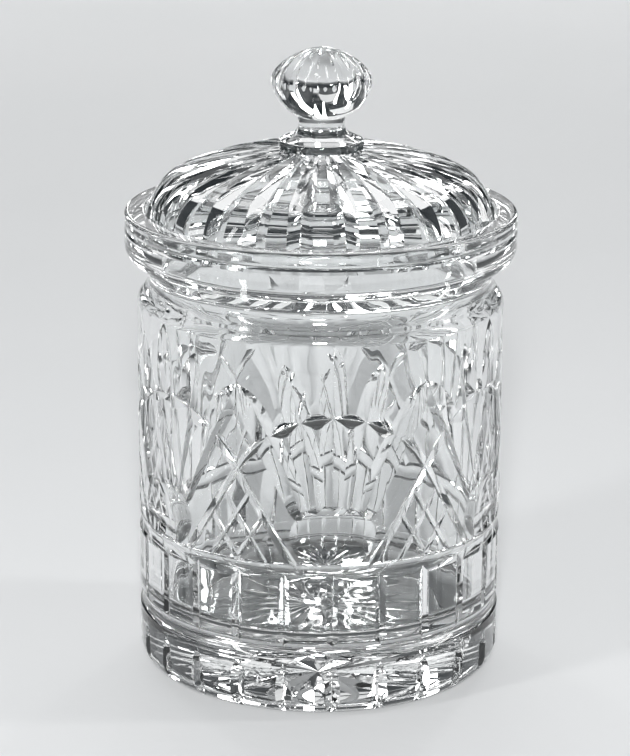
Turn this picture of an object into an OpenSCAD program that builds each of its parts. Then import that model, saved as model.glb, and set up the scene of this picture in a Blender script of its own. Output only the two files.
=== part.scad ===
// Cut-glass biscuit jar with a loose domed lid.
// Origin: middle of the flat foot, +Z up. The middle leaf of one fan faces -Y.

/* [Jar] */
// Diameter of the straight body
body_d = 132; // [126:1:136]
// Outer diameter of the collar at the rim
collar_d = 140.6; // [139:0.2:144]
// Height from the foot to the rim
jar_h = 170; // [168:1:176]
// Diameter of the cavity at its floor
cavity_d = 113; // [108:1:114]
// Draft of the cavity, added to its diameter at the mouth
cavity_draft = 1.5; // [0:0.5:2]
// Height of the cavity floor above the table
floor_h = 27.5; // [25:0.5:28]
// Radius between the cavity floor and wall
floor_r = 6; // [3:1:9]

/* [Collar] */
// Diameter of the recess that the lid drops into
gallery_d = 126; // [125.6:0.2:127]
// Depth of that recess below the rim
gallery_depth = 7; // [5:0.5:8]
// Height of the narrowest part of the neck
neck_z = 145.3; // [144.5:0.1:146]

/* [Cut bands] */
// Number of upright cuts round the foot and the bar band
bars = 24; // [18:6:30]
// Height of the lower round groove
low_groove_z = 26; // [25.5:0.5:27]
// Height of the upper round groove
high_groove_z = 55; // [53:0.5:56]
// Depth of both round grooves
groove_depth = 1.35; // [1.2:0.05:1.6]
// Half the height of each round groove
groove_half = 3.4; // [2.8:0.1:3.6]

/* [Fans] */
// Number of fans round the body
fans = 6; // [6:1:6]
// Height of the tip of each leaf, from the middle one outwards
leaf_tip_z = [137, 130, 121.5];
// Height of the foot of each leaf, inside the half-moon
leaf_foot_z = [75.5, 74, 68.8];
// Angle between neighbouring leaves at their tips
leaf_tip_pitch = 15; // [14:0.5:15]
// Angle between neighbouring leaves at their feet
leaf_foot_pitch = 4.6; // [4.4:0.1:4.8]
// Greatest depth of a leaf
leaf_depth = 2; // [1.7:0.1:2.2]
// Radius of the arch over each fan, along the wall
arch_r = 40; // [39:0.5:41]
// Height of the middle of that arch
arch_z = 70.5; // [69.5:0.5:71.5]
// Depth of the arch cut
arch_depth = 1; // [0.7:0.1:1.3]
// Drop from one line of the lattice to the next
lattice_drop = 16; // [15:0.5:17]
// Depth of the lattice cuts
lattice_depth = 0.7; // [0.5:0.1:1]
// Depth of the half-moon at the foot of each fan
moon_depth = 2.8; // [2.4:0.1:3]

/* [Star under the foot] */
// Number of rays
rays = 24; // [16:2:28]
// Length of a ray from the middle
ray_length = 41; // [36:1:41]
// Depth of a ray
ray_depth = 1.6; // [1:0.1:2]

/* [Lid] */
// Diameter of the lid's edge
lid_d = 124.4; // [124:0.1:124.6]
// Height of the dome's middle above the lid's seat
dome_h = 30; // [28:0.5:31]
// Radius of the dome's shoulder
shoulder_r = 19; // [17:0.5:21]
// Thickness of the dome
dome_wall = 6.2; // [5.5:0.1:7]
// Number of flutes on the dome
flutes = 24; // [20:1:26]
// Greatest depth of a flute
flute_depth = 2.1; // [1.2:0.1:2.4]
// Turn of the lid on the jar
lid_turn = 4; // [-7.5:0.5:7.5]

/* [Knob] */
// Widest diameter of the knob
knob_d = 35.8; // [34:0.2:37]
// Height of the knob's top above the lid's seat
knob_top = 65; // [64.5:0.5:66]
// Number of leaf cuts on the knob
knob_leaves = 12; // [10:1:14]
// Depth of a leaf cut on the knob
knob_leaf_depth = 1.4; // [1.1:0.1:1.5]
// Diameter of the ring under the knob
ring_d = 30.6; // [29:0.2:32]

/* [Hidden] */
$fn = 96;

glass = [0.86, 0.9, 0.92, 0.55];
body_r = body_d / 2;
collar_r = collar_d / 2;
seat_z = jar_h - gallery_depth;
neck_r = 61.7;
foot_r = 9.5;
foot_dish_r = 46;
foot_dish = 0.8;
bar_depth = groove_depth - 0.1;
leaf_steps = 8;
over = 0.4;

// ---------- outlines ----------

// Points of an arc, with angles measured from +X
function arc(c, r, from, to, n) =
    [for (i = [0:n]) let (a = from + (to - from) * i / n) c + r * [cos(a), sin(a)]];

// A round groove in the wall, from its lower edge to its upper edge
function round_groove(z, half, depth, n) =
    let (r = (half * half + depth * depth) / (2 * depth), a = asin(half / r))
    arc([body_r - depth + r, z], r, 180 + a, 180 - a, n);

// The fillet between the cavity's floor and wall
function floor_fillet() = arc([cavity_d / 2 - floor_r, floor_h + floor_r], floor_r, 0, -90, 8);

function jar_outline() = concat(
    [[0, foot_dish], [foot_dish_r, foot_dish], [foot_dish_r + foot_dish, 0]],
    arc([body_r - foot_r, foot_r], foot_r, -90, 0, 8),
    round_groove(low_groove_z, groove_half, groove_depth, 8),
    round_groove(high_groove_z, groove_half, groove_depth, 8),
    arc([body_r - 5, 136.3], 5, 0, 52, 6),
    arc([neck_r + 5.2, neck_z], 5.2, 230, 135, 8),
    arc([collar_r - 6, 157.8], 6, -62, 0, 6),
    [[collar_r, 162.8], [collar_r - 0.4, 163.8], [collar_r, 164.8]],
    arc([collar_r - 1.6, jar_h - 1.6], 1.6, 0, 90, 4),
    arc([gallery_d / 2 + 0.8, jar_h - 0.8], 0.8, 90, 180, 3),
    [[gallery_d / 2, seat_z], [(cavity_d + cavity_draft) / 2, seat_z]],
    floor_fillet(),
    [[0, floor_h]]
);

// ---------- cutters ----------

// Skin over a row of frames [root, side, out], each carrying the same closed shape
module sweep(frames, shape) {
    n = len(shape);
    last = (len(frames) - 1) * n;
    polyhedron(
        points = [for (f = frames) for (p = shape) f[0] + p[0] * f[1] + p[1] * f[2]],
        faces = concat(
            [for (k = [1:n - 2]) [0, k + 1, k]],
            [for (k = [1:n - 2]) [last, last + k, last + k + 1]],
            [for (i = [0:len(frames) - 2]) for (k = [0:n - 1])
                let (a = i * n + k, b = i * n + (k + 1) % n) [a, b, b + n]],
            [for (i = [0:len(frames) - 2]) for (k = [0:n - 1])
                let (a = i * n + k, b = i * n + (k + 1) % n) [a, b + n, a + n]]
        )
    );
}

// The end of a mitre wheel: a V with its root at the origin
function vee(height, slope) = [[0, 0], [-height * slope, height], [height * slope, height]];

// The end of a rounded wheel of radius r, up to the given height
function round_end(r, height) =
    let (a = acos((r - height) / r))
    [for (i = [0:6]) let (t = -a + a * i / 3) [-r * sin(t), r - r * cos(t)]];

// A place on the wall from a distance along it, a height and a depth
function on_wall(s, z, depth) =
    let (a = s / body_r * 180 / PI, r = body_r - depth) [r * sin(a), -r * cos(a), z];

// Frames along a path of [distance along the wall, height, depth]
function wall_frames(path) = [
    for (i = [0:len(path) - 1])
        let (
            p = path[i],
            q = path[min(i + 1, len(path) - 1)],
            o = path[max(i - 1, 0)],
            t = [q[0] - o[0], q[1] - o[1]] / norm([q[0] - o[0], q[1] - o[1]]),
            a = p[0] / body_r * 180 / PI
        )
        [on_wall(p[0], p[1], p[2]),
         [-t[1] * cos(a), -t[1] * sin(a), t[0]],
         [sin(a), -cos(a), 0]]
];

// ---------- cuts on the jar ----------

// How far round the wall a leaf lies, from its foot (u = 0) to its tip (u = 1)
function leaf_s(k, u) =
    k * (leaf_foot_pitch + (leaf_tip_pitch - leaf_foot_pitch) * pow(max(u, 0), 1.35))
    * PI / 180 * body_r;

// How deep a leaf is: it swells to u = 0.6 and runs out at its tip
function leaf_d(u) =
    let (foot = leaf_depth / 2)
    u < 0.6 ? leaf_depth - (leaf_depth - foot) * pow((0.6 - u) / 0.6, 2)
            : leaf_depth - (leaf_depth + over) * pow((u - 0.6) / 0.44, 2);

module leaf(k) {
    foot_z = leaf_foot_z[abs(k)];
    tip_z = leaf_tip_z[abs(k)];
    sweep(
        wall_frames([for (i = [0:leaf_steps]) let (u = 1.04 * i / leaf_steps)
            [leaf_s(k, u), foot_z + (tip_z - foot_z) * u, leaf_d(u)]]),
        vee(3.3, 2.2)
    );
}

// One side of an arch: round to the crossing, then straight down to the groove
function arch_side() =
    let (turn = 58)
    concat(
        [for (i = [1:5]) let (a = turn * i / 5)
            [arch_r * sin(a), arch_z + arch_r * cos(a), arch_depth]],
        [for (i = [1:3]) let (l = i / 3 * (arch_z + arch_r * cos(turn) - high_groove_z) / sin(turn))
            [arch_r * sin(turn) + l * cos(turn), arch_z + arch_r * cos(turn) - l * sin(turn), arch_depth]]
    );

module arch() {
    side = arch_side();
    n = len(side);
    sweep(
        wall_frames(concat(
            [for (i = [0:n - 1]) let (p = side[n - 1 - i]) [-p[0], p[1], p[2]]],
            [[0, arch_z + arch_r, arch_depth]],
            side
        )),
        vee(2, 1.5)
    );
}

// One line of the lattice between two arch legs, row 1 or 2 down from their crossing
module lattice_line(row, hand) {
    turn = 58;
    crossing = arch_z + arch_r * cos(turn) - (body_r * PI / fans - arch_r * sin(turn)) * tan(turn);
    middle = crossing - row * lattice_drop;
    top = crossing - row * lattice_drop / 2;
    bottom = high_groove_z + 1;
    sweep(
        wall_frames([for (i = [0:4]) let (z = top + (bottom - top) * i / 4)
            [hand * (middle - z) / tan(turn), z, lattice_depth]]),
        vee(1.6, 1.5)
    );
}

// The half-moon at the foot of a fan, ground by a wide crowned wheel
module moon() {
    wheel_r = 43.5;
    crown_r = 96;
    half = 18;
    centre_z = 63.4;
    edge_z = high_groove_z + 3.2;
    intersection() {
        translate([0, -(body_r - moon_depth + wheel_r), centre_z])
            rotate([0, 90, 0])
            rotate_extrude()
            intersection() {
                translate([wheel_r - crown_r, 0]) circle(r = crown_r);
                translate([0, -half]) square([wheel_r + 1, 2 * half]);
            }
        translate([-half, -body_r - 20, edge_z]) cube([2 * half, 40, 60]);
    }
}

// An upright bar cut between the two round grooves
module bar() {
    translate([0, -body_r + bar_depth, low_groove_z])
        linear_extrude(high_groove_z - low_groove_z)
        polygon([[0, 0], [-3.2, -2], [3.2, -2]]);
}

// A leaf on the foot: pointed under the lower groove, and again under the foot's rounded edge
module foot_leaf() {
    upper = [[-over, 22.2], [0.6, 18.6], [1.2, 14.5]];
    lower = [[6, 1.35], [19, 1.25], [38, 0.9], [60, 0.2], [72, -over]];
    sweep(
        concat(
            [for (p = upper) [[0, p[0] - body_r, p[1]], [1, 0, 0], [0, -1, 0]]],
            [for (p = lower) let (out = [0, -cos(p[0]), -sin(p[0])])
                [[0, foot_r - body_r, foot_r] + (foot_r - p[1]) * out, [1, 0, 0], out]]
        ),
        vee(2.4, 2.2)
    );
}

// The star under the foot, one skin: each ray is a V that is deepest at ray_root and runs out at
// its tip, and the ridges between the rays fall from the middle until the rays part
module star() {
    slope = 1.6;
    middle = 0.75 * ray_depth;
    ray_root = 18;
    lip = 0.3;
    step = 360 / rays;
    part_r = slope * ray_depth / tan(step / 2);
    tip_r = ray_length + (ray_length - ray_root) * lip / ray_depth;
    notch_r = part_r + part_r * lip / middle;
    function at(r, turn, z) = [r * cos(turn), r * sin(turn), foot_dish + z];
    polyhedron(
        points = concat(
            [at(0, 0, middle), at(0, 0, -2)],
            [for (i = [0:rays - 1]) at(ray_root, i * step, ray_depth)],
            [for (i = [0:rays - 1]) at(tip_r, i * step, -lip)],
            [for (i = [0:rays - 1]) at(notch_r, (i + 0.5) * step, -lip)],
            [for (i = [0:rays - 1]) at(tip_r, i * step, -2)],
            [for (i = [0:rays - 1]) at(notch_r, (i + 0.5) * step, -2)]
        ),
        faces = [for (i = [0:rays - 1])
            let (
                root = 2 + i,
                tip = root + rays,
                right = root + 2 * rays,
                left = 2 + (i + rays - 1) % rays + 2 * rays,
                under = 2 * rays
            )
            each [
                [0, right, root], [0, root, left],
                [root, right, tip], [root, tip, left],
                [tip, right, tip + under], [right, right + under, tip + under],
                [left, tip, tip + under], [left, tip + under, left + under],
                [1, tip + under, right + under], [1, left + under, tip + under]
            ]
        ]
    );
}

module jar() {
    color(glass)
    difference() {
        rotate_extrude() polygon(jar_outline());
        for (f = [0:fans - 1]) rotate(f * 360 / fans) {
            for (k = [-2:2]) leaf(k);
            moon();
            arch();
        }
        for (f = [0:fans - 1]) rotate((f + 0.5) * 360 / fans)
            for (row = [1, 2]) for (hand = [-1, 1]) lattice_line(row, hand);
        for (i = [0:bars - 1]) rotate(i * 360 / bars) {
            bar();
            foot_leaf();
        }
        star();
    }
}

// ---------- lid ----------

lid_r = lid_d / 2;
dome_z = seat_z + dome_h;
edge_z = seat_z + 3;
shoulder_x = lid_r - shoulder_r;
cap_rise = dome_z - edge_z;
cap_r = (shoulder_x * shoulder_x + cap_rise * cap_rise - shoulder_r * shoulder_r)
    / (2 * (cap_rise - shoulder_r));
cap_z = dome_z - cap_r;
blend = atan2(shoulder_x, edge_z - cap_z);
ring_r = ring_d / 2;

// The knob's section is a round bowl, a rounded side and a low pointed top
knob_r = knob_d / 2;
knob_z = seat_z + knob_top;
top_r = 26.8;
top_x = knob_r - 20.7;
top_z = knob_z - sqrt(top_r * top_r - top_x * top_x);
side_r = 6;
side_z = knob_z - 12;
bowl_r = 17.4;
bowl_x = knob_r - 17;
bowl_z = knob_z - 9.1;

// Half the dome's section, drawn in by the given thickness
module dome_half(in) {
    far = 90;
    line = [shoulder_x + far * sin(blend), edge_z + far * cos(blend)];
    intersection() {
        translate([0, cap_z]) circle(r = cap_r - in, $fn = 360);
        polygon([[0, edge_z], [shoulder_x, edge_z], line, [0, line[1]]]);
    }
    intersection() {
        translate([shoulder_x, edge_z]) circle(r = shoulder_r - in);
        polygon([[shoulder_x, edge_z], [shoulder_x + far, edge_z], [shoulder_x + far, line[1]], line]);
    }
    translate([0, seat_z - in]) square([lid_r - in, edge_z - seat_z + in]);
}

// Half the section of the ring, neck and knob, down to inside the dome
module knob_half() {
    base = dome_z - 3;
    ring_z = dome_z + 1;
    ring_edge = 1.2;
    waist_r = 8.2;
    flare_r = 4;
    polygon(concat(
        [[0, base], [ring_r - 0.3, base], [ring_r, dome_z - 0.4]],
        arc([ring_r - ring_edge, ring_z], ring_edge, 0, 70, 3),
        arc([waist_r + flare_r, ring_z + 6.6], flare_r, 235, 180, 5),
        arc([bowl_x, bowl_z], bowl_r, -acos((waist_r + 0.3 - bowl_x) / bowl_r), -14.6, 10),
        arc([knob_r - side_r, side_z], side_r, -8, 38, 4),
        arc([top_x, top_z], top_r, 44.9, 80, 8),
        [[0, knob_z]]
    ));
}

// A place on the dome in its upright middle plane, and the way out of the glass there
function dome_at(t) = t < 1
    ? let (a = asin(ring_r / cap_r) + (blend - asin(ring_r / cap_r)) * t)
        [[0, -cap_r * sin(a), cap_z + cap_r * cos(a)], [0, -sin(a), cos(a)]]
    : let (a = blend + (90 - blend) * (t - 1))
        [[0, -shoulder_x - shoulder_r * sin(a), edge_z + shoulder_r * cos(a)], [0, -sin(a), cos(a)]];

// A flute: a narrow start by the ring that widens to the lid's edge
module flute() {
    steps = 9;
    sweep(
        concat(
            [for (i = [0:steps]) let (
                    t = 1.9 * i / steps,
                    depth = flute_depth * min(1, 0.16 + 0.84 * t / 1.1),
                    p = dome_at(t))
                [p[0] - depth * p[1], [1, 0, 0], p[1]]],
            [[[0, flute_depth - lid_r, edge_z - 1.2], [1, 0, 0], [0, -1, 0]]]
        ),
        vee(3.4, 2.2)
    );
}

// A leaf-shaped hollow from near the knob's top, widest at the side, pointed again below
module knob_leaf() {
    over_top = [[12.5, -0.2], [19.2, 0.1], [28.5, 0.31], [38.8, 0.6], [45, 0.78]];
    down_side = [[60, 0.95], [75, 1], [90, 1]];
    sweep(
        concat(
            [for (p = over_top) let (out = [0, -sin(p[0]), cos(p[0])])
                [[0, -top_x, top_z] + (top_r - knob_leaf_depth * p[1]) * out, [1, 0, 0], out]],
            [for (p = down_side) let (out = [0, -sin(p[0]), cos(p[0])])
                [[0, side_r - knob_r, side_z] + (side_r - knob_leaf_depth * p[1]) * out, [1, 0, 0], out]],
            [[[0, knob_leaf_depth - knob_r, side_z - 7], [1, 0, 0], [0, -1, 0]]]
        ),
        round_end(7, 3)
    );
}

module lid() {
    color(glass)
    rotate(lid_turn)
    difference() {
        rotate_extrude()
            difference() {
                union() {
                    dome_half(0);
                    knob_half();
                }
                dome_half(dome_wall);
                polygon([[lid_r - 0.5, seat_z], [lid_r + 1, seat_z - 1], [lid_r + 1, seat_z + 1.5]]);
            }
        for (i = [0:flutes - 1]) rotate(i * 360 / flutes) flute();
        for (i = [0:knob_leaves - 1]) rotate(i * 360 / knob_leaves) knob_leaf();
    }
}

jar();
lid();
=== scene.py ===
"""Cut-glass biscuit jar with a loose domed lid: two pieces of clear lead crystal.

The sizes of the pieces are in millimetres, and the meshes are made in metres.
"""

import math

import bmesh
import bpy
import numpy as np
from mathutils import Matrix, Vector


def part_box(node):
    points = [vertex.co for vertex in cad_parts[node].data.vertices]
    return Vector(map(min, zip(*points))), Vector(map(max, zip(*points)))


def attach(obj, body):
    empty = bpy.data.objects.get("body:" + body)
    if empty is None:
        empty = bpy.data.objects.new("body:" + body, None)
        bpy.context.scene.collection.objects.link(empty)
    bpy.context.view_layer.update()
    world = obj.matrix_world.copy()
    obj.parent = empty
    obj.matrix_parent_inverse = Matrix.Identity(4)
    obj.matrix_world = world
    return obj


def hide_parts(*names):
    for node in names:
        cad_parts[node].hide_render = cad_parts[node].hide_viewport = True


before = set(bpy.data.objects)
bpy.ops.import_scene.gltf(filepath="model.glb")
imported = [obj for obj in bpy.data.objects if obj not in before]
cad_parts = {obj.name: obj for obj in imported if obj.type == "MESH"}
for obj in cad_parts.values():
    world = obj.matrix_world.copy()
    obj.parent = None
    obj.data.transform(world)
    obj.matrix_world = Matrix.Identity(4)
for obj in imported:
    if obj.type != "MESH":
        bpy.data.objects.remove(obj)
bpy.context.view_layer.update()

# ---------------------------------------------------------------------------------------------
# Camera
# It stands where the photograph was taken from: about a metre off, looking down on the lid.
# ---------------------------------------------------------------------------------------------

CAMERA_DISTANCE = 1.0306  # m, from the jar's axis, along the table
CAMERA_HEIGHT = 0.4112  # m, above the table
CAMERA_BEARING = math.radians(-4.2)  # round the jar, from the middle of the front fan
CAMERA_PAN = math.radians(0.102)
CAMERA_PITCH = math.radians(16.48)  # downward
CAMERA_ROLL = math.radians(0.303)
VIEW_HEIGHT = math.radians(14.576)  # angle of view over the picture's height

camera_data = bpy.data.cameras.new("camera")
camera_data.lens = camera_data.sensor_width / 2 / math.tan(VIEW_HEIGHT / 2)
camera_data.clip_start = 0.05
camera_data.clip_end = 30.0
camera = bpy.data.objects.new("camera", camera_data)
bpy.context.scene.collection.objects.link(camera)
bpy.context.scene.camera = camera
camera.matrix_world = (
    Matrix.Rotation(CAMERA_BEARING, 4, "Z")
    @ Matrix.Translation((0, -CAMERA_DISTANCE, CAMERA_HEIGHT))
    @ Matrix.Rotation(CAMERA_PAN, 4, "Z")
    @ Matrix.Rotation(math.pi / 2 - CAMERA_PITCH, 4, "X")
    @ Matrix.Rotation(CAMERA_ROLL, 4, "Z")
)

# ---------------------------------------------------------------------------------------------
# Table and light
# A matt pale table top. A wide diffuser hangs behind, a small strong one stands off in front, and
# narrow ones stand at the sides and the back. The room beyond them is dark, so that the facets
# have both light and dark to bend into view.
# ---------------------------------------------------------------------------------------------

TABLE_COLOURS = ["#D3D5D6", "#D9DADB"]
ROOM_COLOUR = "#2C3033"
TABLE_SIZE = 12.0  # m
ROLLER_PASS = 333.3  # mm, from one overlap to the next
ROLLER_MARKS = 6.0  # mm, from one dimple to the next
DIMPLE_RISE = 0.4  # mm
LAMP_AIM = (0.0, 0.0, 0.1)  # m, in the middle of the jar
DIFFUSERS = [  # place, width and height in metres, radiance
    ((0.0, 1.80, 2.30), (3.4, 2.2), 0.95),
    ((-0.26, -3.20, 1.42), (0.5, 0.6), 218.0),
    ((-1.08, -0.72, 0.62), (0.12, 1.1), 14.0),
    ((1.27, -0.12, 0.62), (0.12, 1.1), 12.0),
    ((0.90, 1.80, 0.75), (0.16, 1.2), 8.0),
    ((-0.90, 1.90, 0.75), (0.16, 1.2), 8.0),
    ((0.26, 2.40, 0.60), (0.10, 0.9), 9.0),
    ((-0.34, 2.40, 0.60), (0.10, 0.9), 9.0),
    ((0.10, 2.60, 0.82), (1.1, 0.5), 0.7),
]


def linear(hex_colour):
    """Scene colour of an sRGB hex value."""
    channels = [int(hex_colour[i : i + 2], 16) / 255 for i in (1, 3, 5)]
    return [c / 12.92 if c <= 0.04045 else ((c + 0.055) / 1.055) ** 2.4 for c in channels] + [1.0]


def add_node(tree, kind, links=(), **settings):
    """Adds a node: links are (input, output socket), settings its properties or plain inputs."""
    node = tree.nodes.new("ShaderNode" + kind)
    for name, value in settings.items():
        if hasattr(node, name):
            setattr(node, name, value)
        else:
            node.inputs[name.replace("_", " ")].default_value = value
    for name, socket in links:
        tree.links.new(socket, node.inputs[name])
    return node


# Emulsion paint on board, rolled on: quite matt, with a faint mottle where the roller overlapped.
rolled_paint = bpy.data.materials.new("rolled_paint")
rolled_paint.use_nodes = True
tree = rolled_paint.node_tree
tree.nodes.clear()
place = add_node(tree, "TexCoord").outputs["Object"]
overlap = add_node(tree, "TexNoise", [("Vector", place)], Scale=1000 / ROLLER_PASS, Detail=2.0)
tone = add_node(tree, "ValToRGB", [("Fac", overlap.outputs["Fac"])])
tone.color_ramp.elements[0].color = linear(TABLE_COLOURS[0])
tone.color_ramp.elements[1].color = linear(TABLE_COLOURS[1])
stipple = add_node(tree, "TexNoise", [("Vector", place)], Scale=1000 / ROLLER_MARKS, Detail=3.0)
dimple = add_node(
    tree, "Bump", [("Height", stipple.outputs["Fac"])], Strength=0.2, Distance=DIMPLE_RISE / 1000
)
paint = add_node(
    tree, "BsdfPrincipled",
    [("Base Color", tone.outputs["Color"]), ("Normal", dimple.outputs["Normal"])],
    Roughness=0.85,
)
add_node(tree, "OutputMaterial", [("Surface", paint.outputs["BSDF"])])

table_mesh = bpy.data.meshes.new("table_top")
half = TABLE_SIZE / 2
table_mesh.from_pydata(
    [(-half, -half, 0), (half, -half, 0), (half, half, 0), (-half, half, 0)], [], [(0, 1, 2, 3)]
)
table_mesh.materials.append(rolled_paint)
table_top = bpy.data.objects.new("table_top", table_mesh)
bpy.context.scene.collection.objects.link(table_top)

for number, (place, size, radiance) in enumerate(DIFFUSERS):
    lamp_data = bpy.data.lights.new(f"diffuser_{number}", "AREA")
    lamp_data.shape = "RECTANGLE"
    lamp_data.size, lamp_data.size_y = size
    lamp_data.energy = radiance * math.pi * size[0] * size[1]
    lamp = bpy.data.objects.new(f"diffuser_{number}", lamp_data)
    bpy.context.scene.collection.objects.link(lamp)
    away = Vector(place) - Vector(LAMP_AIM)
    turned_to_jar = away.to_track_quat("Z", "Y").to_matrix().to_4x4()
    lamp.matrix_world = Matrix.Translation(place) @ turned_to_jar

world = bpy.data.worlds.new("room")
bpy.context.scene.world = world
world.use_nodes = True
world.node_tree.nodes["Background"].inputs["Color"].default_value = linear(ROOM_COLOUR)
world.node_tree.nodes["Background"].inputs["Strength"].default_value = 1.0

bpy.context.scene.view_settings.view_transform = "Standard"

# Light crosses a dozen cut faces and more on its way through the jar.
cycles = bpy.context.scene.cycles
cycles.max_bounces = 24
cycles.transmission_bounces = 20
cycles.glossy_bounces = 12
cycles.caustics_reflective = False
cycles.caustics_refractive = False

# ---------------------------------------------------------------------------------------------
# Jar
# Heavy clear lead crystal, gathered, pressed with a plunger in a turned mould, and cut when cold.
# A mitre wheel leaves the V of each leaf, arch and bar, and acid clears what the wheel leaves grey.
# ---------------------------------------------------------------------------------------------

MM = 0.001
SIDES = 384  # strips round each lathe-turned shape
jar_low, jar_high = (np.array(corner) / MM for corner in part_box("jar"))
lid_low, lid_high = (np.array(corner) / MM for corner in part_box("lid"))
rim_z = jar_high[2]
seat_z = lid_low[2]
collar_r = (jar_high[0] - jar_low[0]) / 2
body_r = 66.0
foot_round = 9.5
dish_depth = 0.8  # of the shallow dish under the foot
dish_r = 46.0
low_groove_z = 26.0
high_groove_z = 55.0
groove_half = 3.4  # half of a round groove's width
groove_depth = 1.35
wall_top_z = 136.3  # where the wall starts to round in to the neck
wall_top_round = 5.0
neck_z = 145.3
neck_r = 61.7
neck_round = 5.2
collar_z = 157.8  # where the collar's rounded underside meets its straight side
collar_round = 6.0
rim_line_z = 163.8  # a fine V line round the collar
rim_line_half = 1.0
rim_line_depth = 0.4
rim_round = 1.6
gallery_r = 63.0  # the recess that the lid lies in
gallery_round = 0.8
mouth_r = 57.25
cavity_r = 56.5
floor_z = 27.5
floor_round = 6.0


def bend(centre, radius, start, end, steps):
    """Strips along an arc of an outline: each is its two ends, and the ways out of the glass."""
    turns = np.radians(np.linspace(start, end, steps + 1))
    rays = np.stack([np.cos(turns), np.sin(turns)], 1)
    points = np.array(centre) + radius * rays
    out = rays if end > start else -rays
    return list(zip(points, points[1:], out, out[1:]))


def straight(*corners):
    """Strips along straight lines of an outline that runs with the glass on its left."""
    strips = []
    for start, end in zip(corners, corners[1:]):
        along = np.subtract(end, start) / math.dist(start, end)
        out = np.array([along[1], -along[0]])
        strips.append((np.array(start), np.array(end), out, out))
    return strips


def outline(*runs):
    """Joins runs of strips, with a straight strip wherever two ends don't meet."""
    strips = []
    for run in runs:
        if strips and math.dist(strips[-1][1], run[0][0]) > 1e-6:
            strips += straight(strips[-1][1], run[0][0])
        strips += run
    return strips


def round_groove(z):
    """A groove turned into the wall with a round-edged wheel."""
    wheel_r = (groove_half**2 + groove_depth**2) / (2 * groove_depth)
    half_turn = math.degrees(math.asin(groove_half / wheel_r))
    centre = (body_r - groove_depth + wheel_r, z)
    return bend(centre, wheel_r, 180 + half_turn, 180 - half_turn, 14)


def new_solid(name, points, faces):
    """A closed mesh from points in millimetres, with its faces turned outward."""
    mesh = bpy.data.meshes.new(name)
    mesh.from_pydata((np.asarray(points) * MM).tolist(), [], faces)
    shell = bmesh.new()
    shell.from_mesh(mesh)
    bmesh.ops.recalc_face_normals(shell, faces=shell.faces)
    shell.to_mesh(mesh)
    shell.free()
    solid = bpy.data.objects.new(name, mesh)
    bpy.context.scene.collection.objects.link(solid)
    return solid


def turned(name, strips):
    """A lathe-turned solid whose outline starts and ends on the axis."""
    turns = np.linspace(0, 2 * math.pi, SIDES, endpoint=False)
    points, first = [], []
    for radius, z in [strips[0][0]] + [strip[1] for strip in strips]:
        first.append(len(points))
        if radius < 1e-6:
            points.append((0.0, 0.0, z))
        else:
            points += [(radius * math.sin(t), -radius * math.cos(t), z) for t in turns]
    faces = []
    last = len(first) - 1
    for row, (a, b) in enumerate(zip(first, first[1:])):
        for i in range(SIDES):
            j = (i + 1) % SIDES
            if row == 0:
                faces.append((a, b + j, b + i))
            elif row == last - 1:
                faces.append((a + i, a + j, b))
            else:
                faces.append((a + i, a + j, b + j, b + i))
    return new_solid(name, points, faces)


jar_strips = outline(
    straight((0, dish_depth), (dish_r, dish_depth), (dish_r + dish_depth, 0)),
    bend((body_r - foot_round, foot_round), foot_round, -90, 0, 24),
    round_groove(low_groove_z),
    round_groove(high_groove_z),
    bend((body_r - wall_top_round, wall_top_z), wall_top_round, 0, 52, 14),
    bend((neck_r + neck_round, neck_z), neck_round, 230, 135, 22),
    bend((collar_r - collar_round, collar_z), collar_round, -62, 0, 16),
    straight(
        (collar_r, rim_line_z - rim_line_half),
        (collar_r - rim_line_depth, rim_line_z),
        (collar_r, rim_line_z + rim_line_half),
    ),
    bend((collar_r - rim_round, rim_z - rim_round), rim_round, 0, 90, 10),
    bend((gallery_r + gallery_round, rim_z - gallery_round), gallery_round, 90, 180, 6),
    straight((gallery_r, seat_z), (mouth_r, seat_z)),
    bend((cavity_r - floor_round, floor_z + floor_round), floor_round, 0, -90, 20),
    straight((cavity_r - floor_round, floor_z), (0, floor_z)),
)
jar_glass = turned("jar_glass", jar_strips)

# Six fans of five leaves stand on half-moons, under arches that cross. A lattice fills the gap
# between two arches, upright bars join the round grooves, leaves run down over the foot, and a
# star fills the dish under it.
FANS = 6
LEAF_TIPS = [137.0, 130.0, 121.5]  # height of each leaf's tip, from the middle one outwards
LEAF_FEET = [71.5, 71.0, 71.5]
leaf_tip_pitch = 15.0  # degrees
leaf_foot_pitch = 4.6  # degrees
leaf_splay = 1.35  # over 1, the leaves part more toward their tips than at their feet
leaf_depth = 2.4
leaf_belly = 0.6  # share of its length at which a leaf is widest
leaf_bluntness = 4.5  # the higher, the later and rounder a leaf closes to its tip
arch_r = 40.0
arch_z = 70.5
arch_turn = 58.0  # degrees from the arch's top to where its legs run straight
arch_depth = 1.3
arch_swell = 1.0  # deeper by this over the fan's middle
arch_swell_half = 27.0  # how far to each side of the fan's middle the swell reaches
LATTICE_ROWS = (1, 2)
lattice_drop = 16.0
lattice_depth = 0.7
moon_depth = 3.0
moon_base_z = high_groove_z + 3.2
moon_top_z = 82.0
moon_centre_z = 68.2
moon_half = 17.5  # half of its wheel's width
moon_wheel_r = 26.0
moon_crown_r = 88.0  # how round the wheel's rim is from side to side
BARS = 24
bar_depth = groove_depth - 0.1
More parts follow.
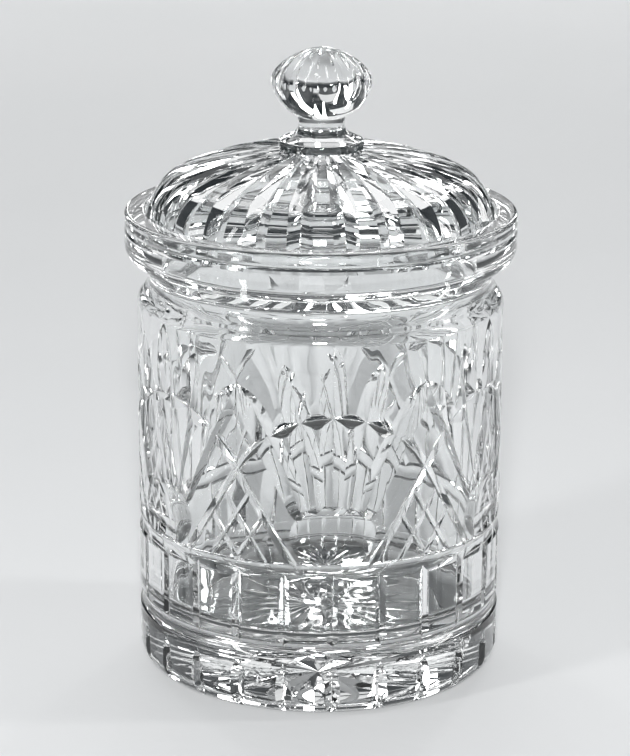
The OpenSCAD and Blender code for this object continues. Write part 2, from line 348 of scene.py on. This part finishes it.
# A foot leaf's depth by height on the wall, and by degrees round the foot's edge.
FOOT_LEAF_WALL = [(9.0, 1.33), (14.5, 1.2), (18.6, 0.6), (22.2, -0.4)]
FOOT_LEAF_EDGE = [(0, 1.35), (6, 1.35), (19, 1.25), (38, 0.9), (60, 0.2), (72, -0.4)]
RAYS = 24
ray_length = 41.0
ray_depth = 1.6
ray_spread = 1.6  # half of a ray's width at the surface, per depth
ray_root_r = 18.0  # where the rays are deepest
star_middle = 0.75  # depth of the star's middle, as a share of the rays'


def skin(rings):
    """Points and faces of a closed skin over rows of points."""
    count = len(rings[0])
    points = np.concatenate(rings)
    last = (len(rings) - 1) * count
    faces = [tuple(range(count)), tuple(range(last, last + count))[::-1]]
    for i in range(len(rings) - 1):
        for k in range(count):
            a, b = i * count + k, i * count + (k + 1) % count
            faces.append((a, a + count, b + count, b))
    return points, faces


def swept(frames, section):
    """A skin over frames of (root, sideways, outward), each with the same section."""
    return skin([
        np.array(root) + np.outer(section[:, 0], side) + np.outer(section[:, 1], out)
        for root, side, out in frames
    ])


def mitre(height, spread, edge=0.5, steps=4):
    """Section of a mitre wheel's rim: a V with a worn edge, each side spread wide per height."""
    lean = math.atan(1 / spread)
    turns = np.linspace(-lean, lean, steps + 1)
    worn = np.stack([edge * np.sin(turns), edge - edge * np.cos(turns)], 1)
    lift = height - worn[0][1]
    wide = worn[-1][0] + lift * spread
    return np.concatenate([[[-wide, height]], worn, [[wide, height]]])


def marks(name, skins, turns):
    """Wheel marks as one mesh: each skin repeated round the axis at every turn, in degrees."""
    points, faces = [], []
    for turn in np.radians(turns):
        c, s = math.cos(turn), math.sin(turn)
        spin = np.array([[c, s, 0], [-s, c, 0], [0, 0, 1]])
        for skin_points, skin_faces in skins:
            start = sum(map(len, points))
            points.append(skin_points @ spin)
            faces += [tuple(start + i for i in face) for face in skin_faces]
    return new_solid(name, np.concatenate(points), faces)


def grind(blank, wheel_marks):
    """Takes one set of wheel marks, none touching another, out of a blank."""
    cut = blank.modifiers.new("cut", "BOOLEAN")
    cut.operation = "DIFFERENCE"
    cut.solver = "MANIFOLD"
    cut.object = wheel_marks
    graph = bpy.context.evaluated_depsgraph_get()
    ground = bpy.data.meshes.new_from_object(blank.evaluated_get(graph))
    blank.modifiers.clear()
    blank.data = ground
    bpy.data.objects.remove(wheel_marks)


def along_wall(path):
    """Frames for a wheel led along the wall; the path is rows of way along, height and depth."""
    path = np.array(path)
    heading = np.gradient(path[:, :2], axis=0)
    heading /= np.linalg.norm(heading, axis=1)[:, None]
    frames = []
    for (way, z, depth), (east, up) in zip(path, heading):
        turn = way / body_r
        out = np.array([math.sin(turn), -math.cos(turn), 0])
        east_there = np.array([math.cos(turn), math.sin(turn), 0])
        side = -up * east_there + np.array([0, 0, east])
        frames.append((out * (body_r - depth) + [0, 0, z], side, out))
    return frames


def leaf_mark(k):
    """Leaf k of a fan: it swells from its foot, which the half-moon cuts off, to its blunt tip."""
    foot, tip = LEAF_FEET[abs(k)], LEAF_TIPS[abs(k)]
    path = []
    for u in np.linspace(0, 1.02, 45):  # share of the leaf's length, and a little past its tip
        pitch = leaf_foot_pitch + (leaf_tip_pitch - leaf_foot_pitch) * u**leaf_splay
        if u < leaf_belly:
            run_in = min(1, 0.1 + 8 * u)  # the wheel reaches its depth over the first ninth
            depth = leaf_depth * (1 - ((leaf_belly - u) / leaf_belly) ** 2 / 2) * run_in
        else:
            depth = leaf_depth * (1 - ((u - leaf_belly) / (1 - leaf_belly)) ** leaf_bluntness)
        path.append((math.radians(k * pitch) * body_r, foot + (tip - foot) * u, depth))
    return swept(along_wall(path), mitre(height=3.7, spread=2.2))


def arch_mark():
    """An arch over a fan: round at the top, with straight legs down to the upper groove."""
    turn = math.radians(arch_turn)
    knee = arch_r * math.sin(turn), arch_z + arch_r * math.cos(turn)
    leg = (knee[1] - high_groove_z) / math.sin(turn)
    half_arch = [
        (arch_r * math.sin(angle), arch_z + arch_r * math.cos(angle))
        for angle in np.linspace(0, turn, 25)
    ]
    half_arch += [
        (knee[0] + down * math.cos(turn), knee[1] - down * math.sin(turn))
        for down in np.linspace(0, leg, 13)[1:]
    ]
    path = []
    for way, z in [(-way, z) for way, z in half_arch[:0:-1]] + half_arch:
        swell = arch_swell * max(0, 1 - (way / arch_swell_half) ** 4)
        path.append((way, z, arch_depth + swell))
    return swept(along_wall(path), mitre(height=3.0, spread=1.15, edge=0.3))


def lattice_mark(row, hand):
    """A line of the lattice between two arches, from an arch's leg down to the upper groove."""
    turn = math.radians(arch_turn)
    knee_way, knee_z = arch_r * math.sin(turn), arch_z + arch_r * math.cos(turn)
    crossing = knee_z - (body_r * math.pi / FANS - knee_way) * math.tan(turn)
    middle = crossing - row * lattice_drop
    top = crossing - row * lattice_drop / 2
    heights = np.linspace(top, high_groove_z + 1, 16)
    path = [(hand * (middle - z) / math.tan(turn), z, lattice_depth) for z in heights]
    return swept(along_wall(path), mitre(height=1.5, spread=1.5, edge=0.25))


def moon_mark():
    """A half-moon at the foot of a fan, ground by a wide wheel with a crowned rim."""
    across = np.linspace(-moon_half, moon_half, 57)
    rim_r = moon_wheel_r - moon_crown_r + np.sqrt(moon_crown_r**2 - across**2)
    axle_y = -(body_r - moon_depth + moon_wheel_r)
    clear_y = -body_r - 9  # well outside the wall
    rings = []
    for z in np.linspace(moon_base_z, moon_top_z, 41):
        y = axle_y + np.sqrt(rim_r**2 - (z - moon_centre_z) ** 2)
        face = np.stack([across, y, np.full_like(across, z)], 1)
        back = [[moon_half, clear_y, z], [-moon_half, clear_y, z]]
        rings.append(np.concatenate([face, back]))
    return skin(rings)


def bar_mark():
    """An upright bar from one round groove to the other."""
    ends = [
        ((0, bar_depth - body_r, z), (1, 0, 0), (0, -1, 0)) for z in (low_groove_z, high_groove_z)
    ]
    return swept(ends, mitre(height=2.6, spread=1.6, edge=0.3))


def eased(place, table):
    """The value at a place, on a smooth curve through a table of (place, value)."""
    known, values = np.array(table, float).T
    slopes = np.gradient(values, known)
    i = np.clip(np.searchsorted(known, place) - 1, 0, len(known) - 2)
    gap = known[i + 1] - known[i]
    t = (place - known[i]) / gap
    start = (1 - t) ** 2 * ((1 + 2 * t) * values[i] + t * gap * slopes[i])
    return start + t**2 * ((3 - 2 * t) * values[i + 1] + (t - 1) * gap * slopes[i + 1])


def foot_leaf_mark():
    """A leaf on the foot: pointed under the lower groove, and again under the rounded edge."""
    frames = []
    for z in np.linspace(22.2, 10.5, 14):
        depth = eased(z, FOOT_LEAF_WALL)
        frames.append(((0, depth - body_r, z), (1, 0, 0), (0, -1, 0)))
    for degrees in np.linspace(3, 72, 22):
        depth = eased(degrees, FOOT_LEAF_EDGE)
        turn = math.radians(degrees)
        out = np.array([0, -math.cos(turn), -math.sin(turn)])
        root = (foot_round - depth) * out + [0, foot_round - body_r, foot_round]
        frames.append((root, (1, 0, 0), out))
    return swept(frames, mitre(height=2.4, spread=2.2, edge=0.4))


def star_mark():
    """The star under the foot: V rays, deepest partway out, that meet in ridges inside that."""
    step = math.radians(360 / RAYS)
    lip, under = 0.3, -2.0  # the mark runs on past the dish's face, and is closed off below it
    middle = star_middle * ray_depth
    part_r = ray_spread * ray_depth / math.tan(step / 2)  # the rays part from here outwards
    tip_r = ray_length + (ray_length - ray_root_r) * lip / ray_depth
    notch_r = part_r * (1 + lip / middle)

    def ring(radius, shift, z):
        turns = (np.arange(RAYS) + shift) * step
        level = np.full(RAYS, dish_depth + z)
        return np.stack([radius * np.cos(turns), radius * np.sin(turns), level], 1)

    points = np.concatenate([
        [(0, 0, dish_depth + middle), (0, 0, dish_depth + under)],
        ring(ray_root_r, 0, ray_depth), ring(tip_r, 0, -lip), ring(notch_r, 0.5, -lip),
        ring(tip_r, 0, under), ring(notch_r, 0.5, under),
    ])
    faces = []
    for i in range(RAYS):
        root, tip, right, tip_low, right_low = (2 + i + n * RAYS for n in range(5))
        left, left_low = (2 + (i - 1) % RAYS + n * RAYS for n in (2, 4))
        faces += [
            (0, right, root), (0, root, left), (root, right, tip), (root, tip, left),
            (tip, right, right_low, tip_low), (left, tip, tip_low, left_low),
            (1, tip_low, right_low), (1, left_low, tip_low),
        ]
    return points, faces


fan_turns = np.arange(FANS) * 360 / FANS
between_fans = fan_turns + 180 / FANS
bar_turns = np.arange(BARS) * 360 / BARS
for name, skins, turns in (
    ("outer_leaves", [leaf_mark(-2), leaf_mark(0), leaf_mark(2)], fan_turns),
    ("inner_leaves", [leaf_mark(-1), leaf_mark(1)], fan_turns),
    ("half_moons", [moon_mark()], fan_turns),
    ("even_arches", [arch_mark()], fan_turns[::2]),
    ("odd_arches", [arch_mark()], fan_turns[1::2]),
    ("left_lattice", [lattice_mark(row, -1) for row in LATTICE_ROWS], between_fans),
    ("right_lattice", [lattice_mark(row, 1) for row in LATTICE_ROWS], between_fans),
    ("bars", [bar_mark()], bar_turns),
    ("foot_leaves", [foot_leaf_mark()], bar_turns),
    ("star", [star_mark()], [0]),
):
    grind(jar_glass, marks(name, skins, turns))


def polish(piece, strips, pressed):
    """Gives turned surfaces their exact roundness, and keeps every cut's edge crisp.

    Each face gets the finish of its making: ground on the seat, cut by a wheel, pressed on the
    strips that stayed as the plunger left them, and fire-polished on every other turned strip.
    """
    most_off = 0.03  # mm, from a turned face to its strip
    least_facing = 0.995  # how well a turned face points along its strip's way out
    least_straight = math.cos(math.radians(11))  # an edge that bends more stays crisp
    seat_off, seat_level = 0.05, 0.9  # mm from the seat's height, and how level its faces are

    mesh = piece.data
    shell = bmesh.new()
    shell.from_mesh(mesh)
    bmesh.ops.remove_doubles(shell, verts=shell.verts, dist=0.0001 * MM)
    shell.to_mesh(mesh)
    shell.free()
    count = len(mesh.polygons)
    normals = np.empty(count * 3)
    centres = np.empty(count * 3)
    mesh.polygons.foreach_get("normal", normals)
    mesh.polygons.foreach_get("center", centres)
    normals, centres = normals.reshape(-1, 3), centres.reshape(-1, 3) / MM
    starts, ends, outs, outs_after = (np.array([strip[k] for strip in strips]) for k in range(4))
    spans = ends - starts
    lengths = (spans**2).sum(1)

    def on_strip(places, strip):
        """How far along its strip each place is, and how far off it."""
        radial = np.stack([np.hypot(places[:, 0], places[:, 1]), places[:, 2]], 1)
        share = np.clip(((radial - starts[strip]) * spans[strip]).sum(1) / lengths[strip], 0, 1)
        off = np.linalg.norm(radial - starts[strip] - share[:, None] * spans[strip], axis=1)
        return share, off

    best = np.full(count, 1e9)
    strip_of = np.zeros(count, int)
    for strip in range(len(strips)):
        _, off = on_strip(centres, np.full(count, strip))
        nearer = off < best
        best[nearer], strip_of[nearer] = off[nearer], strip

    def way_out(places, strip):
        """The turned surface's normal at each place."""
        share, _ = on_strip(places, strip)
        flat = outs[strip] * (1 - share[:, None]) + outs_after[strip] * share[:, None]
        flat /= np.linalg.norm(flat, axis=1)[:, None]
        radius = np.maximum(np.hypot(places[:, 0], places[:, 1]), 1e-9)
        return np.stack([
            flat[:, 0] * places[:, 0] / radius, flat[:, 0] * places[:, 1] / radius, flat[:, 1]
        ], 1)

    facing = (normals * way_out(centres, strip_of)).sum(1)
    is_turned = (best < most_off) & (facing > least_facing)

    loop_count = len(mesh.loops)
    corner_vertex = np.empty(loop_count, np.int32)
    corner_edge = np.empty(loop_count, np.int32)
    mesh.loops.foreach_get("vertex_index", corner_vertex)
    mesh.loops.foreach_get("edge_index", corner_edge)
    sizes = np.empty(count, np.int32)
    mesh.polygons.foreach_get("loop_total", sizes)
    corner_face = np.repeat(np.arange(count), sizes)
    places = np.empty(len(mesh.vertices) * 3)
    mesh.vertices.foreach_get("co", places)
    places = places.reshape(-1, 3) / MM

    by_edge = np.argsort(corner_edge, kind="stable")
    near, far = corner_face[by_edge].reshape(-1, 2).T
    straightness = (normals[near] * normals[far]).sum(1)
    sharp = (straightness < least_straight) | (is_turned[near] != is_turned[far])
    edges = mesh.attributes.get("sharp_edge")
    if edges is None:
        edges = mesh.attributes.new("sharp_edge", "BOOLEAN", "EDGE")
    edges.data.foreach_set("value", sharp)
    mesh.polygons.foreach_set("use_smooth", np.ones(count, bool))

    corner_normals = np.zeros((loop_count, 3))
    kept = is_turned[corner_face]
    corner_normals[kept] = way_out(places[corner_vertex[kept]], strip_of[corner_face[kept]])
    mesh.normals_split_custom_set(corner_normals.tolist())

    by_plunger = np.zeros(len(strips), bool)
    by_plunger[pressed] = True
    on_seat = (abs(centres[:, 2] - seat_z) < seat_off) & (abs(normals[:, 2]) > seat_level)
    finish = np.select([on_seat, ~is_turned, by_plunger[strip_of]], [3, 2, 1], 0)
    mesh.materials.clear()
    for material in (fire_polished_crystal, pressed_crystal, wheel_cut_crystal, ground_crystal):
        mesh.materials.append(material)
    mesh.polygons.foreach_set("material_index", finish.astype(np.int32))


CRYSTAL_COLOUR = "#FDFEFE"
CRYSTAL_SHADOW = "#959899"  # what one surface lets through into the jar's own shadow
CRYSTAL_IOR = 1.545


def lead_crystal(name, roughness, wave, rise):
    """Clear full-lead crystal whose surface rises and falls: the waves' size and height in mm."""
    material = bpy.data.materials.new(name)
    material.use_nodes = True
    tree = material.node_tree
    tree.nodes.clear()
    place = add_node(tree, "TexCoord").outputs["Object"]
    scaled = add_node(tree, "Mapping", [("Vector", place)], Scale=[1000 / size for size in wave])
    waves = add_node(
        tree, "TexNoise", [("Vector", scaled.outputs["Vector"])], Scale=1.0, Detail=1.0
    )
    bump = add_node(
        tree, "Bump", [("Height", waves.outputs["Fac"])], Strength=1.0, Distance=rise * MM
    )
    glass = add_node(
        tree, "BsdfPrincipled", [("Normal", bump.outputs["Normal"])],
        Base_Color=linear(CRYSTAL_COLOUR), Transmission_Weight=1.0, Roughness=roughness,
        IOR=CRYSTAL_IOR,
    )
    shadow = add_node(tree, "BsdfTransparent", Color=linear(CRYSTAL_SHADOW))
    ray = add_node(tree, "LightPath")
    mix = add_node(
        tree, "MixShader", [
            ("Fac", ray.outputs["Is Shadow Ray"]),
            (1, glass.outputs["BSDF"]),
            (2, shadow.outputs["BSDF"]),
        ],
    )
    add_node(tree, "OutputMaterial", [("Surface", mix.outputs["Shader"])])
    return material


# The flame melts the mould's marks away: a bright skin, with faint slow waves.
fire_polished_crystal = lead_crystal("fire_polished_crystal", 0.0, (15, 15, 11), 0.08)
# The plunger drags the hot glass, which sets in upright waves that bend what shows through.
pressed_crystal = lead_crystal("pressed_crystal", 0.0, (11, 11, 38), 0.4)
# Acid clears the wheel's cut, but faint streaks stay along it, and they draw the light out.
wheel_cut_crystal = lead_crystal("wheel_cut_crystal", 0.0, (1.8, 1.8, 14), 0.02)
# The seat is ground flat and left as it is, a grey frost. Its 0.1 mm grit is drawn at 0.5 mm.
ground_crystal = lead_crystal("ground_crystal", 0.4, (0.5, 0.5, 0.5), 0.02)

plunger_strips = 1 + 20 + 1  # wall, rounded corner and floor, at the outline's end
polish(jar_glass, jar_strips, slice(-plunger_strips, None))
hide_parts("jar")
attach(jar_glass, "jar")

# ---------------------------------------------------------------------------------------------
# Lid
# The same crystal, pressed as a thick dome in one piece with its knob, and ground flat where it
# lies on the jar's ledge. A mitre wheel cut its flutes, and a round-edged one the knob's petals.
# ---------------------------------------------------------------------------------------------

lid_r = (lid_high[0] - lid_low[0]) / 2
lid_turn = 4.0  # degrees, as the lid lies on the jar
dome_z = seat_z + 30  # the dome's top, under the knob
edge_z = seat_z + 3  # the lid's straight edge reaches up to here
edge_bevel = 0.5
shoulder_round = 19.0
dome_wall = 6.2
ring_r = 15.3
ring_z = dome_z + 1
ring_round = 1.2
waist_z = ring_z + 6.6
waist_r = 8.2
waist_round = 4.0
knob_r = 17.9
knob_z = lid_high[2]
bowl_r = 17.4  # the knob's underside
bowl_centre = (knob_r - 17, knob_z - 9.1)
bowl_end = -14.6  # degrees above the level, where the rounded side begins
side_r = 6.0
side_centre = (knob_r - side_r, knob_z - 12)
side_end = 44.9  # degrees above the level, where the flatter top begins
top_r = 26.8
top_x = knob_r - 20.7
top_centre = (top_x, knob_z - math.sqrt(top_r**2 - top_x**2))
FLUTES = 24
flute_depth = 2.1
flute_start = 0.16  # depth at the ring, as a share of the full depth
flute_full = 1.1  # a flute is full depth from here, a little past the shoulder
PETALS = 12
petal_depth = 1.6
petal_wheel_r = 7.0
petal_wheel_height = 3.0  # how much of the wheel's rim the mark shows
PETAL_SHARES = [  # degrees down from the knob's top, share of the full depth
    (12.5, -0.2), (19.2, 0.1), (28.5, 0.31), (38.8, 0.6), (45, 0.78), (60, 0.95), (75, 1), (90, 1),
]

# The dome is one wide arc that runs smoothly into the tight one of its shoulder.
shoulder_x = lid_r - shoulder_round
cap_rise = dome_z - edge_z
dome_r = (shoulder_x**2 + cap_rise**2 - shoulder_round**2) / (2 * (cap_rise - shoulder_round))
dome_centre = dome_z - dome_r
blend = math.degrees(math.atan2(shoulder_x, edge_z - dome_centre))  # from the top to the shoulder


def reach(radius, x):
    """Angle above the level at which a circle's edge is x from its middle."""
    return math.degrees(math.acos(x / radius))


lid_strips = outline(
    bend((0, dome_centre), dome_r - dome_wall, 90, 90 - blend, 40),
    bend((shoulder_x, edge_z), shoulder_round - dome_wall, 90 - blend, 0, 16),
    straight((lid_r - dome_wall, edge_z), (lid_r - dome_wall, seat_z)),
    straight((lid_r - edge_bevel, seat_z), (lid_r, seat_z + edge_bevel), (lid_r, edge_z)),
    bend((shoulder_x, edge_z), shoulder_round, 0, 90 - blend, 24),
    bend((0, dome_centre), dome_r, 90 - blend, reach(dome_r, ring_r), 32),
    bend((ring_r - ring_round, ring_z), ring_round, 0, 70, 8),
    bend((waist_r + waist_round, waist_z), waist_round, 235, 180, 14),
    bend(bowl_centre, bowl_r, -reach(bowl_r, waist_r + 0.3 - bowl_centre[0]), bowl_end, 28),
    bend(side_centre, side_r, bowl_end, side_end, 14),
    bend(top_centre, top_r, side_end, reach(top_r, -top_x), 26),
)
lid_glass = turned("lid_glass", lid_strips)


def over_dome(share):
    """Place and way out on the dome's middle plane: 0 is the ring, 1 the shoulder, 2 the edge."""
    start = math.asin(ring_r / dome_r)
    if share < 1:
        turn = start + (math.radians(blend) - start) * share
        out = np.array([0, -math.sin(turn), math.cos(turn)])
        return dome_r * out + [0, 0, dome_centre], out
    turn = math.radians(blend + (90 - blend) * (share - 1))
    out = np.array([0, -math.sin(turn), math.cos(turn)])
    return shoulder_round * out + [0, -shoulder_x, edge_z], out


def flute_mark():
    """A flute that starts narrow by the ring and widens to the lid's edge."""
    frames = []
    for share in np.linspace(0, 1.9, 49):
        place, out = over_dome(share)
        depth = flute_depth * min(1, flute_start + (1 - flute_start) * share / flute_full)
        frames.append((place - depth * out, (1, 0, 0), out))
    frames.append(((0, flute_depth - lid_r, edge_z - 1.2), (1, 0, 0), (0, -1, 0)))
    return swept(frames, mitre(height=2.5, spread=2.2, edge=0.6))


def petal_mark():
    """A petal-shaped hollow from near the knob's top, widest at the side, pointed again below."""
    frames = []
    for degrees in np.linspace(PETAL_SHARES[0][0], 90, 48):
        centre, radius = (top_centre, top_r) if degrees < 90 - side_end else (side_centre, side_r)
        turn = math.radians(degrees)
        out = np.array([0, -math.sin(turn), math.cos(turn)])
        depth = petal_depth * eased(degrees, PETAL_SHARES)
        frames.append(((radius - depth) * out + [0, -centre[0], centre[1]], (1, 0, 0), out))
    frames.append(((0, petal_depth - knob_r, side_centre[1] - 7), (1, 0, 0), (0, -1, 0)))
    lean = math.acos((petal_wheel_r - petal_wheel_height) / petal_wheel_r)
    arc = np.linspace(-lean, lean, 17)
    return swept(frames, petal_wheel_r * np.stack([np.sin(arc), 1 - np.cos(arc)], 1))


flute_turns = np.arange(FLUTES) * 360 / FLUTES + lid_turn
petal_turns = np.arange(PETALS) * 360 / PETALS + lid_turn
for name, skins, turns in (
    ("even_flutes", [flute_mark()], flute_turns[::2]),
    ("odd_flutes", [flute_mark()], flute_turns[1::2]),
    ("even_petals", [petal_mark()], petal_turns[::2]),
    ("odd_petals", [petal_mark()], petal_turns[1::2]),
):
    grind(lid_glass, marks(name, skins, turns))

no_strips = slice(0)  # the lid is smooth inside too, so the plunger's waves show nowhere on it
polish(lid_glass, lid_strips, no_strips)
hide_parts("lid")
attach(lid_glass, "lid")
